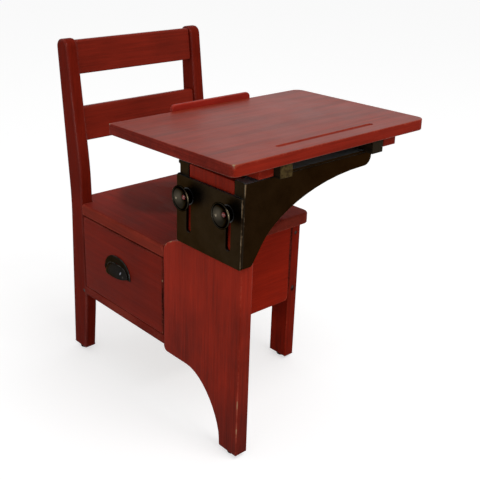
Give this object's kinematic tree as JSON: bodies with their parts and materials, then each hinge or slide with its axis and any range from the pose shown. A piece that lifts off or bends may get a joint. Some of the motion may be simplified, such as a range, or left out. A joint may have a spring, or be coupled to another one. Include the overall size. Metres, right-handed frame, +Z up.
{
  "type": "school desk",
  "caption": "Wooden school chair with a side drawer under the seat, a solid side panel and a sliding writing top on a height-adjustable cast iron bracket.",
  "frame": {"origin": "on the floor, under the middle of the desk's bounding box", "axes": "+X to the sitter's left, +Y from the desk top towards the back rest, +Z up"},
  "size_m": [0.518, 0.6294, 0.737],
  "materials": {
    "barn_red_paint": "worn satin paint, dark barn red",
    "bright_red_paint": "satin paint, brighter red",
    "drawer_wood": "bare wood, aged",
    "dark_stained_wood": "dark stained hardwood",
    "bronzed_iron": "brown-black bronzed lacquer, rubbed on the edges",
    "blackened_metal": "blackened, semi-gloss",
    "screw_steel": "aged zinc"
  },
  "bodies": {
    "chair": {"side_panel": "barn_red_paint", "rear_post_right": "barn_red_paint", "rear_post_left": "barn_red_paint", "back_top_slat": "barn_red_paint", "back_middle_slat": "barn_red_paint", "seat_board": "barn_red_paint", "front_leg_left": "barn_red_paint", "front_apron": "barn_red_paint", "left_side_apron": "barn_red_paint", "rear_apron": "barn_red_paint", "drawer_rail": "barn_red_paint", "drawer_runner_front": "drawer_wood", "drawer_runner_rear": "drawer_wood", "frame_screws": "blackened_metal", "floor_glides": "blackened_metal", "clamp_bolts": "screw_steel", "clamp_washers": "bronzed_iron"},
    "drawer": {"drawer_front": "barn_red_paint", "drawer_side_front": "drawer_wood", "drawer_side_rear": "drawer_wood", "drawer_back": "drawer_wood", "drawer_bottom": "drawer_wood", "drawer_pull": "blackened_metal", "pull_screws": "blackened_metal"},
    "bracket": {"desk_bracket": "bronzed_iron"},
    "top": {"desktop_board": "barn_red_paint", "book_ledge": "bright_red_paint", "ledge_screws": "screw_steel", "batten_right": "barn_red_paint", "batten_left": "barn_red_paint", "slide_bar_right": "dark_stained_wood", "slide_bar_left": "dark_stained_wood", "strip_screws": "screw_steel", "slide_screws": "screw_steel"},
    "front_knob": {"knob_front": "bronzed_iron"},
    "rear_knob": {"knob_rear": "bronzed_iron"}
  },
  "joints": [
    {"name": "drawer_slide", "type": "slide", "parent": "chair", "child": "drawer", "axis": [-1, 0, 0], "range_m": [0, 0.23]},
    {"name": "desk_height", "type": "slide", "parent": "chair", "child": "bracket", "axis": [0, 0, 1], "range_m": [0, 0.066]},
    {"name": "desktop_slide", "type": "slide", "parent": "bracket", "child": "top", "axis": [0, -0.9997, 0.0227], "range_m": [0, 0.075]},
    {"name": "knob_front_turn", "type": "hinge", "parent": "chair", "child": "front_knob", "pos_m": [-0.2166, -0.2543, 0.5145], "axis": [-1, 0, 0], "continuous": true},
    {"name": "knob_rear_turn", "type": "hinge", "parent": "chair", "child": "rear_knob", "pos_m": [-0.2166, -0.1423, 0.5145], "axis": [-1, 0, 0], "continuous": true}
  ]
}
